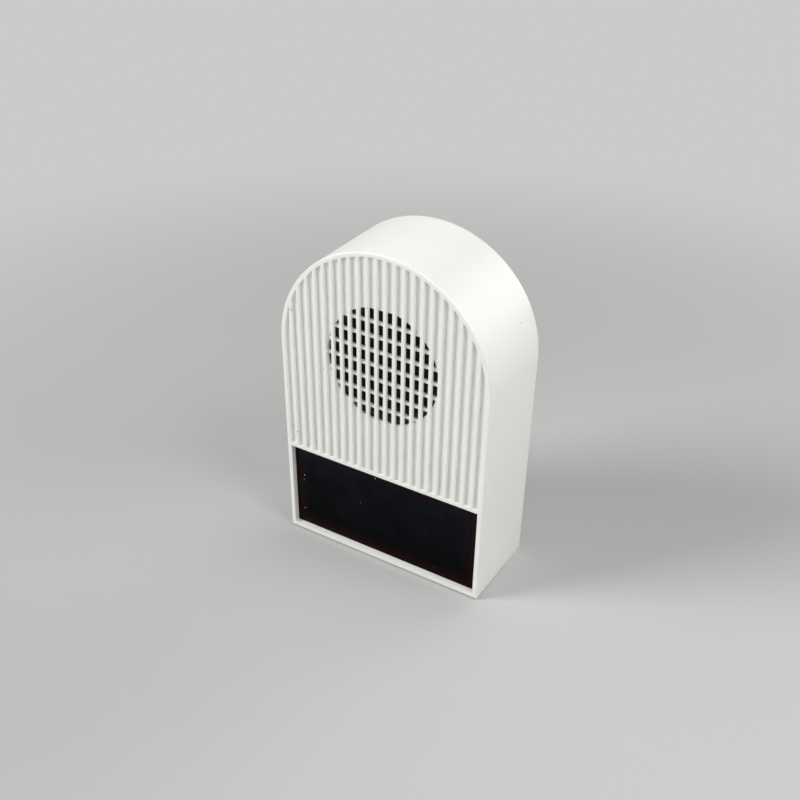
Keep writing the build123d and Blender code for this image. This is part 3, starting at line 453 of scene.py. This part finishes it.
# How pieces are made. Places are in the object's own frame.
mergeReach = 1e-6  # metres within which points become one
slack = 0.01  # millimetres within which points lie at one height
speakerZ = 81.097  # height of the loudspeaker's axis


def start(primitive, place, **settings):
    bpy.ops.object.select_all(action="DESELECT")
    primitive(location=Vector(place) * mm, **settings)
    bpy.ops.object.transform_apply(location=True, rotation=True, scale=True)
    return bpy.context.active_object


def startBlock(low, high):
    low, high = Vector(low), Vector(high)
    return start(bpy.ops.mesh.primitive_cube_add, (low + high) / 2, size=1, scale=(high - low) * mm)


def applyModifier(piece, kind, **settings):
    modifier = piece.modifiers.new(kind.lower(), kind)
    for name, value in settings.items():
        setattr(modifier, name, value)
    bpy.context.view_layer.objects.active = piece
    bpy.ops.object.modifier_apply(modifier=modifier.name)


def pickEdges(piece, test):
    # test gets an edge's two ends, in millimetres
    corners = piece.data.vertices
    for edge in piece.data.edges:
        edge.select = test(*(corners[i].co / mm for i in edge.vertices))
    bpy.ops.object.mode_set(mode="EDIT")


def pickFaces(piece, test):
    # test gets a face's middle, in millimetres, and its normal
    for face in piece.data.polygons:
        face.select = test(face.center / mm, face.normal)
    bpy.ops.object.mode_set(mode="EDIT")


def clearPicks(mode):
    bpy.ops.object.mode_set(mode="EDIT")
    bpy.ops.mesh.select_mode(type=mode)
    bpy.ops.mesh.select_all(action="DESELECT")
    bpy.ops.object.mode_set(mode="OBJECT")


def pickPieces(pieces):
    bpy.ops.object.select_all(action="DESELECT")
    for piece in pieces:
        piece.select_set(True)
    bpy.context.view_layer.objects.active = pieces[0]


def turned(stations, centre, sides, axis="Y"):
    # a ring drawn along its axis through stations of (radius, place along the axis)
    along = Vector((1, 0, 0)) if axis == "X" else Vector((0, 1, 0))
    centre = Vector(centre)
    turn = (0, pi / 2, 0) if axis == "X" else (pi / 2, 0, 0)
    piece = start(bpy.ops.mesh.primitive_circle_add, centre + along * stations[0][1],
                  vertices=sides, radius=stations[0][0] * mm, rotation=turn)
    bpy.ops.object.mode_set(mode="EDIT")
    bpy.ops.mesh.select_mode(type="EDGE")
    bpy.ops.mesh.select_all(action="SELECT")
    for before, after in zip(stations, stations[1:]):
        bpy.ops.mesh.extrude_edges_move()
        bpy.ops.transform.translate(value=along * (after[1] - before[1]) * mm)
        bpy.ops.transform.resize(value=(after[0] / before[0],) * 3,
                                 center_override=(centre + along * after[1]) * mm)
    bpy.ops.mesh.select_all(action="SELECT")
    bpy.ops.mesh.remove_doubles(threshold=mergeReach)
    if stations[0] != stations[-1]:
        # a solid of turning: the open end rings get their faces
        bpy.ops.mesh.select_all(action="DESELECT")
        bpy.ops.mesh.select_non_manifold()
        bpy.ops.mesh.edge_face_add()
        bpy.ops.mesh.select_all(action="SELECT")
    bpy.ops.mesh.normals_make_consistent(inside=False)
    bpy.ops.object.mode_set(mode="OBJECT")
    return piece


def dressPiece(piece, name, finishNames, body, slotName, *replaced, smooth=35):
    pickPieces([piece])
    bpy.ops.object.shade_smooth_by_angle(angle=radians(smooth))
    applyModifier(piece, "WEIGHTED_NORMAL", keep_sharp=True)
    piece.name = name
    for finishName in finishNames:
        piece.data.materials.append(materials[finishName])
    if body:  # a piece given no body is left unattached
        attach(piece, body)
    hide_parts(*replaced)


def copied(piece, places):
    # copies with their own meshes at the places given, as one piece
    made = []
    for place in places:
        copy = piece.copy()
        copy.data = piece.data.copy()
        bpy.context.scene.collection.objects.link(copy)
        copy.data.transform(Matrix.Translation(Vector(place) * mm))
        made.append(copy)
    bpy.data.objects.remove(piece)
    pickPieces(made)
    bpy.ops.object.join()
    return made[0]


# Label plate: thin printed plate with cut corners and a softened front edge
label = {"corner": 0.5, "cornerSteps": 4, "edge": 0.12, "edgeSteps": 2}


def makeLabel():
    low, high = (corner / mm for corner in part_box("label_plate"))
    piece = startBlock(low, high)
    clearPicks("EDGE")
    pickEdges(piece, lambda a, b: abs(a.y - b.y) > slack)
    bpy.ops.mesh.bevel(offset=label["corner"] * mm, segments=label["cornerSteps"])
    bpy.ops.object.mode_set(mode="OBJECT")
    clearPicks("EDGE")
    pickEdges(piece, lambda a, b: max(a.y, b.y) < low.y + slack)
    bpy.ops.mesh.bevel(offset=label["edge"] * mm, segments=label["edgeSteps"])
    bpy.ops.object.mode_set(mode="OBJECT")
    dressPiece(piece, "labelPlate", ("glossLabelPrint",), "chime_body", "label_acrylic",
               "label_plate")


makeLabel()
print("label made")


# Screws: pan head with a cross recess, and a ribbed shank below it. All of them face the back.
# head and shank are radii, seat is where the head sits along Y, and tip is the shank's end.
speakerScrewRing = 28.9
screws = {
    "cover": {"head": 2.7, "headHeight": 1.4, "shank": 1.4, "seat": 15.625, "tip": 6.12,
              "places": ((-33.5, 6.6), (33.5, 6.6), (-23.7, 104.8), (23.7, 104.8))},
    "speaker": {"head": 2.3, "headHeight": 1.4, "shank": 1.1, "seat": -11.8, "tip": -15.0,
                "places": [(speakerScrewRing * cos(radians(angle)),
                            speakerZ + speakerScrewRing * sin(radians(angle)))
                           for angle in (90, 210, 330)]},
    "board": {"head": 1.8, "headHeight": 1.2, "shank": 0.9, "seat": -8.9, "tip": -12.9,
              "places": ((-16.5, 16.0), (16.5, 44.5))},
}
# Shares of those sizes. crown: (share of the head's radius, share of its height below the top);
# pitch, root and point: of the shank's radius; cross: half width and half length of its bars, of
# the head's radius, how deep of its height, and how much of them is left at the bottom.
screwForm = {
    "sides": 32, "crown": ((0.35, 0.0), (0.72, 0.08), (0.92, 0.30), (1.0, 0.62)),
    "pitch": 0.45, "root": 0.74, "point": 0.2,
    "crossBars": ((0.17, 0.62), (0.62, 0.17)), "crossDepth": 0.6, "crossTaper": 0.62,
}


def makeScrews(kind, name, node):
    spec = screws[kind]
    seat, tip, head, tall, shank = (
        spec[size] for size in ("seat", "tip", "head", "headHeight", "shank"))
    top = seat + tall
    # the head, from its crown to its seat, then the thread's ridges down to the point
    stations = [(head * wide, top - tall * drop) for wide, drop in screwForm["crown"]]
    stations.append((head, seat))
    pitch, root = shank * screwForm["pitch"], shank * screwForm["root"]
    place = seat
    while place - tip > 2 * pitch:
        stations += [(root, place), (shank, place - pitch * 0.5)]
        place -= pitch
    stations += [(root, place), (shank * screwForm["point"], tip)]
    piece = turned(stations, (0, 0, 0), screwForm["sides"])
    # the cross is cut by two tapered bars that stand a millimetre above the head
    for width, length in screwForm["crossBars"]:
        cutter = startBlock((-head * width, top - tall * screwForm["crossDepth"], -head * length),
                            (head * width, top + 1, head * length))
        clearPicks("FACE")
        pickFaces(cutter, lambda middle, normal: normal.y < -0.9)
        bpy.ops.transform.resize(value=(screwForm["crossTaper"],) * 3)
        bpy.ops.object.mode_set(mode="OBJECT")
        applyModifier(piece, "BOOLEAN", object=cutter, operation="DIFFERENCE", solver="EXACT")
        bpy.data.objects.remove(cutter)
    piece = copied(piece, [(x, 0, z) for x, z in spec["places"]])
    dressPiece(piece, name, ("zincPlate",), "chime_body", "screw_steel", node, smooth=30)


makeScrews("cover", "coverScrews", "cover_screws")
makeScrews("speaker", "speakerScrews", "speaker_screws")
makeScrews("board", "boardScrews", "board_screws")
print("screws made")


# Dry cells: foil sleeve rolled over both ends, steel end cap and positive nub.
# Stations run from the negative end to the nub, over the cell's length of 50.5 mm, and middle is
# the place among them that lies at X = 0. The nub points right in the upper cell.
cells = {
    "stations": ((4.8, 0.15), (5.2, 0.0), (5.9, 0.0), (6.15, 0.3), (6.45, 0.3), (6.6, 0.05),
                 (6.9, 0.05), (7.1, 0.3), (7.1, 48.7), (6.95, 49.0), (6.6, 49.1), (6.4, 48.85),
                 (4.6, 48.85), (4.2, 49.2), (2.75, 49.3), (2.6, 49.45), (2.6, 50.2), (2.3, 50.5)),
    "sides": 64, "sleeveFrom": 6.4, "middle": 24.0, "y": 7.4, "upperZ": 28.75, "lowerZ": 14.25,
}


def makeCell(name, node, z, side, sleeve):
    stations = [(radius, side * (place - cells["middle"])) for radius, place in cells["stations"]]
    piece = turned(stations, (0, cells["y"], z), cells["sides"], "X")
    dressPiece(piece, name, (sleeve, "nickelPlate"), "chime_body", "cell_sleeve", node, smooth=30)
    for face in piece.data.polygons:
        middle = face.center / mm
        onSleeve = hypot(middle.y - cells["y"], middle.z - z) > cells["sleeveFrom"]
        face.material_index = 0 if onSleeve else 1


makeCell("upperCell", "cell_upper", cells["upperZ"], 1, "upperSleeve")
makeCell("lowerCell", "cell_lower", cells["lowerZ"], -1, "lowerSleeve")
print("cells made")


# Foam pad in the battery door: a strip of foam with soft, crowned faces
pad = {"edge": 0.3, "edgeSteps": 3, "cuts": 24, "crown": 0.12, "squareness": 4}


def makePad():
    low, high = (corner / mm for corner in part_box("door_pad"))
    inner = low + Vector((0, pad["crown"], 0))
    piece = startBlock(inner, high)
    clearPicks("EDGE")
    pickEdges(piece, lambda a, b: max(a.y, b.y) < inner.y + slack or abs(a.y - b.y) > slack)
    bpy.ops.mesh.bevel(offset=pad["edge"] * mm, segments=pad["edgeSteps"])
    bpy.ops.mesh.select_all(action="SELECT")
    bpy.ops.mesh.subdivide(number_cuts=pad["cuts"])
    bpy.ops.object.mode_set(mode="OBJECT")
    middle, half = (low + high) / 2, (high - low) / 2
    power = pad["squareness"]
    for corner in piece.data.vertices:
        x, z = (corner.co.x / mm - middle.x) / half.x, (corner.co.z / mm - middle.z) / half.z
        if corner.co.y < middle.y * mm:
            corner.co.y -= pad["crown"] * mm * (1 - x ** power) * (1 - z ** power)
    dressPiece(piece, "doorPad", ("cellFoam",), "door", "foam", "door_pad", smooth=60)


makePad()
print("pad made")


# Loudspeaker's soft and thin pieces, each a dictionary of its own: places are (radius, y) round
# the speaker's axis, sheet is a thickness, and flex holds the radius beyond which a ring would
# stand still and the one within which it would move with the cone, though nothing here reads it.
speakerSides = 96
gasket = {"stations": [(23.4, -13.2), (23.4, -15.0), (23.6, -15.2), (24.8, -15.2), (25.0, -15.0),
                       (25.0, -13.2), (23.4, -13.2)]}
surround = {"outer": 23.25, "inner": 18.95, "y": -13.5, "ridge": 20.75, "halfWidth": 0.9,
            "height": 0.8, "steps": 10, "landOut": 0.8, "landIn": 0.4, "sheet": 0.3,
            "flex": (22.2, 19.8)}
cone = {"rim": (19.75, -13.1), "shoulder": (18.85, -13.1), "neck": (6.9, -7.6), "foot": (6.9, -7.3),
        "rings": 7, "stepsPerRing": 4, "ridge": 0.12, "sheet": 0.5}
cap = {"radius": 8.4, "rise": 1.4, "y": -10.14, "steps": 8, "middle": 0.35, "sheet": 0.4}
spider = {"inner": 6.95, "outer": 13.0, "y": -6.0, "waves": 4, "waveHeight": 0.28, "steps": 48,
          "land": [(13.05, -5.0), (13.3, -4.8), (14.4, -4.8)], "sheet": 0.2, "flex": (12.9, 7.3)}
coil = {"bore": 6.65, "former": 6.85, "front": -8.4, "windingFront": -4.3, "windingBack": -1.3,
        "wire": 0.25, "step": 0.15, "steps": 19}


def sheetStations(front, thickness):
    # a sheet's front line and then its back line, with square edges
    return front + [(radius, y + thickness) for radius, y in reversed(front)] + [front[0]]


def makeTurned(name, node, body, slotName, finishName, stations):
    piece = turned(stations, (0, 0, speakerZ), speakerSides)
    dressPiece(piece, name, (finishName,), body, slotName, node, smooth=50)
    return piece


def makeFlexing(name, node, slotName, finishName, stations):
    piece = makeTurned(name, node, None, slotName, finishName, stations)
    places = [point.co.copy() for point in piece.data.vertices]
    for point in piece.data.vertices:
        point.co = (hypot(point.co.x, point.co.z - speakerZ * mm), 0, 0)
    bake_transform(piece)
    for point, place in zip(piece.data.vertices, places):
        point.co = place
    piece.data.update()


def surroundFront():
    # a rubber edge: a half roll between a land on the frame and a land on the cone
    outer, inner, y = surround["outer"], surround["inner"], surround["y"]
    roll = []
    for i in range(surround["steps"] + 1):
        angle = pi * i / surround["steps"]
        roll.append((surround["ridge"] + surround["halfWidth"] * cos(angle),
                     y - surround["height"] * sin(angle)))
    landOut, landIn = outer - surround["landOut"], inner + surround["landIn"]
    return [(outer, y), (landOut, y)] + roll + [(landIn, y), (inner, y)]


def coneFront():
    # straight-sided paper cone with pressed rings, from its rim to the foot round the coil
    shoulder, neck = cone["shoulder"], cone["neck"]
    count = cone["rings"] * cone["stepsPerRing"]
    slope = []
    for i in range(count + 1):
        share = i / count
        ridge = cone["ridge"] * sin(2 * pi * cone["rings"] * share) * sin(pi * share)
        slope.append((shoulder[0] + (neck[0] - shoulder[0]) * share,
                      shoulder[1] + (neck[1] - shoulder[1]) * share + ridge))
    return [cone["rim"]] + slope + [cone["foot"]]


def capStations():
    # a shallow dome, its front from the middle out and its back home: both middles get a face
    base, count = cap["radius"], cap["steps"]
    reach = [cap["middle"]] + [base * i / count for i in range(1, count + 1)]
    front = [(radius, cap["y"] + cap["rise"] * (radius / base) ** 2) for radius in reach]
    return front + [(radius, y + cap["sheet"]) for radius, y in reversed(front)]


def spiderFront():
    # corrugated cloth disc: waves that die away at the coil and at the dropped land on the frame
    inner, outer, waves = spider["inner"], spider["outer"], spider["waves"]
    rings = []
    for i in range(spider["steps"] + 1):
        share = i / spider["steps"]
        fade = min(1, 2 * waves * share, 2 * waves * (1 - share))
        height = spider["waveHeight"] * sin(2 * pi * waves * share) * fade
        rings.append((inner + (outer - inner) * share, spider["y"] - height))
    return rings + spider["land"]


def coilStations():
    # a paper former with fine wire wound on its back end
    bore, former, front = coil["bore"], coil["former"], coil["front"]
    first, last = coil["windingFront"], coil["windingBack"]
    winding = [(former + coil["wire"] * abs(sin(pi * i / 2)) ** 0.5, first + coil["step"] * i)
               for i in range(1, coil["steps"] + 1)]
    return ([(bore, front), (former, front), (former, first)] + winding
            + [(former, last), (bore, last), (bore, front)])


makeTurned("speakerGasket", "speaker_gasket", "chime_body", "felt", "feltBoard", gasket["stations"])
makeFlexing("speakerSurround", "speaker_surround", "rubber_edge", "butylRubber",
            sheetStations(surroundFront(), surround["sheet"]))
makeFlexing("speakerSpider", "speaker_spider", "spider_cloth", "resinCloth",
            sheetStations(spiderFront(), spider["sheet"]))
makeTurned("speakerCone", "speaker_cone", "cone", "paper", "pressedPaper",
           sheetStations(coneFront(), cone["sheet"]))
makeTurned("dustCap", "dust_cap", "cone", "paper", "pressedPaper", capStations())
makeTurned("voiceCoil", "voice_coil", "cone", "copper_coil", "enamelledCopper", coilStations())
print("speaker made")


# Springs and inner wires: round smooth tubes on NURBS lines. A spring winds from its seat radius,
# at foot, to its tip radius. The battery's wires are given as (x, y) and the speaker's as (y, z).
springs = {"wire": 0.8, "seat": 4.6, "tip": 2.5, "foot": 27.12, "rise": 2.64, "turns": 2,
           "perTurn": 12}
wires = {
    "diameter": 1.0, "speakerX": 2.5,
    "battery": ((27.6, -1.92), (24.0, -1.92), (20.0, -1.92), (17.9, -1.92), (17.57, -2.3),
                (17.57, -4.5), (17.57, -7.0), (17.57, -8.9)),
    "speaker": ((-1.17, 59.1), (-1.17, 55.0), (-1.17, 48.0), (-1.17, 44.4), (-1.5, 43.81),
                (-3.5, 43.81), (-6.5, 43.81), (-8.9, 43.81)),
}
tubeDetail = {"order": 4, "stepsAlong": 4, "stepsRound": 3}


def drawnTube(points, diameter):
    bpy.ops.object.select_all(action="DESELECT")
    bpy.ops.curve.primitive_nurbs_path_add()
    tube = bpy.context.active_object
    line = tube.data.splines[0]
    line.points.add(len(points) - len(line.points))
    for place, point in zip(points, line.points):
        point.co = (*(Vector(place) * mm), 1)
    line.order_u = tubeDetail["order"]
    line.use_endpoint_u = True
    line.resolution_u = tubeDetail["stepsAlong"]
    tube.data.dimensions = "3D"
    tube.data.bevel_depth = diameter / 2 * mm
    tube.data.bevel_resolution = tubeDetail["stepsRound"]
    tube.data.use_fill_caps = True
    bpy.ops.object.convert(target="MESH")
    tube = bpy.context.active_object
    bpy.ops.object.mode_set(mode="EDIT")
    bpy.ops.mesh.select_all(action="SELECT")
    bpy.ops.mesh.remove_doubles(threshold=mergeReach)
    bpy.ops.mesh.normals_make_consistent(inside=False)
    bpy.ops.object.mode_set(mode="OBJECT")
    return tube


def makeTube(name, node, points, diameter, slotName, finishName):
    dressPiece(drawnTube(points, diameter), name, (finishName,), "chime_body", slotName, node)


def springLine(side, z):
    count = springs["turns"] * springs["perTurn"]
    points = []
    for i in range(count + 1):
        share = i / count
        turn = 2 * pi * springs["turns"] * share
        radius = springs["seat"] + (springs["tip"] - springs["seat"]) * share
        along = -side * (springs["foot"] - springs["rise"] * share)
        points.append((along, cells["y"] + side * radius * cos(turn), z + radius * sin(turn)))
    return points


for name, node, side, z in (("seriesSpring", "series_spring", 1, cells["upperZ"]),
                            ("negativeSpring", "negative_spring", -1, cells["lowerZ"])):
    makeTube(name, node, springLine(side, z), springs["wire"], "nickel", "nickelPlate")
for name, node, z, slotName, finishName in (
        ("positiveLead", "battery_lead_positive", cells["upperZ"], "lead_red", "redPvc"),
        ("negativeLead", "battery_lead_negative", cells["lowerZ"], "lead_black", "blackPvc")):
    line = [(x, y, z) for x, y in wires["battery"]]
    makeTube(name, node, line, wires["diameter"], slotName, finishName)
for name, node, x, slotName, finishName in (
        ("speakerLeadA", "speaker_lead_a", -wires["speakerX"], "lead_black", "blackPvc"),
        ("speakerLeadB", "speaker_lead_b", wires["speakerX"], "lead_red", "redPvc")):
    line = [(x, y, z) for y, z in wires["speaker"]]
    makeTube(name, node, line, wires["diameter"], slotName, finishName)
print("springs and wires made")


# Resistors: stations are (radius, distance from the middle) of one half, and each band of paint
# runs from one place to another along the body. A wire leaves each end and bends to the board.
resistors = {
    "places": ((4.0, -7.75, 34.51), (4.0, -7.75, 30.96), (-4.8, -7.75, 16.76)), "sides": 32,
    "stations": ((0.3, 3.15), (0.7, 3.15), (1.02, 3.0), (1.15, 2.7), (1.15, 2.0), (1.04, 1.6),
                 (0.98, 1.2)),
    "wire": 0.55, "wireEnds": (2.8, 3.6, 4.2, 4.47), "wireDrops": (0.0, 0.3, 0.8, 1.15),
    "bodyEnd": 3.16, "lacquer": "#C9A26C", "surface": (2, (0.3, 0.42), 0.9, 0.02),
    "bands": ((-2.6, -2.0, "#4E2A12"), (-0.95, -0.45, "#121110"), (0.1, 0.6, "#BF4E17"),
              (1.95, 2.5, "#9C7A2C")),
}
# Capacitor: stations are (radius, y) from the board to the lid. The lid is bare, and the pale
# stripe reaches so many radians to either side.
capacitor = {
    "centre": (-10.8, 0, 40.9), "sides": 64, "lidRadius": 2.03, "lidDepth": 2.5, "stripe": 0.5,
    "stations": ((0.3, -8.9), (2.2, -8.9), (2.42, -8.82), (2.5, -8.65), (2.5, -8.25), (2.42, -8.1),
                 (2.38, -8.0), (2.42, -7.9), (2.5, -7.75), (2.5, -2.45), (2.44, -2.2),
                 (2.28, -2.07), (2.05, -2.07), (2.0, -2.17), (0.3, -2.17)),
}


def bandedLacquer(name, centre):
    # dipped lacquer: tan, slightly lumpy, with painted bands
    material, tree, shader, place = newMaterial(name, {})
    axes = addNode(tree, "ShaderNodeSeparateXYZ", links={0: place})
    colour = lacquer = resistors["lacquer"]
    for begin, end, paint in resistors["bands"]:
        for edge, after in ((begin, paint), (end, lacquer)):
            past = addNode(tree, "ShaderNodeMath",
                           {"operation": "GREATER_THAN", 1: (centre + edge) * mm},
                           {0: axes.outputs[0]})
            colour = mixColours(tree, past.outputs[0], colour, after)
    tree.links.new(colour, shader.inputs["Base Color"])
    dress(tree, shader, place, *resistors["surface"])
    return material


def makeResistors():
    half = list(resistors["stations"])
    profile = [(radius, -along) for radius, along in half] + half[::-1]
    ends, drops = resistors["wireEnds"], resistors["wireDrops"]
    line = [(end, 0.0) for end in ends] + [(ends[-1], drop) for drop in drops[1:]]
    parts = []
    for x, y, z in resistors["places"]:
        parts.append(turned(profile, (x, y, z), resistors["sides"], "X"))
        for side in (-1, 1):
            points = [(x + side * end, y - drop, z) for end, drop in line]
            parts.append(drawnTube(points, resistors["wire"]))
    pickPieces(parts)
    bpy.ops.object.join()
    names = []
    for i, centre in enumerate(resistors["places"]):
        names.append(f"bandedLacquer{i + 1}")
        materials[names[-1]] = bandedLacquer(names[-1], centre[0])
    dressPiece(parts[0], "boardResistors", (*names, "tinnedBrass"), "chime_body", "resistor_body",
               "board_resistors")
    centres = [Vector(centre) for centre in resistors["places"]]
    for face in parts[0].data.polygons:
        middle = face.center / mm
        reach = [(middle - centre).length for centre in centres]
        which = reach.index(min(reach))
        isWire = abs(middle.x - centres[which].x) > resistors["bodyEnd"]
        face.material_index = len(names) if isWire else which


def makeCapacitor():
    centre = Vector(capacitor["centre"])
    piece = turned(capacitor["stations"], centre, capacitor["sides"])
    dressPiece(piece, "boardCapacitor", ("shrinkSleeve", "sleevePrint", "drawnAluminium"),
               "chime_body", "capacitor_sleeve", "board_capacitor")
    for face in piece.data.polygons:
        offset = face.center / mm - centre
        nearAxis = hypot(offset.x, offset.z) < capacitor["lidRadius"]
        onLid = nearAxis and offset.y > -capacitor["lidDepth"]
        onStripe = abs(atan2(offset.z, offset.x)) < capacitor["stripe"]
        face.material_index = 2 if onLid else 1 if onStripe else 0


makeResistors()
makeCapacitor()
print("board's parts made")
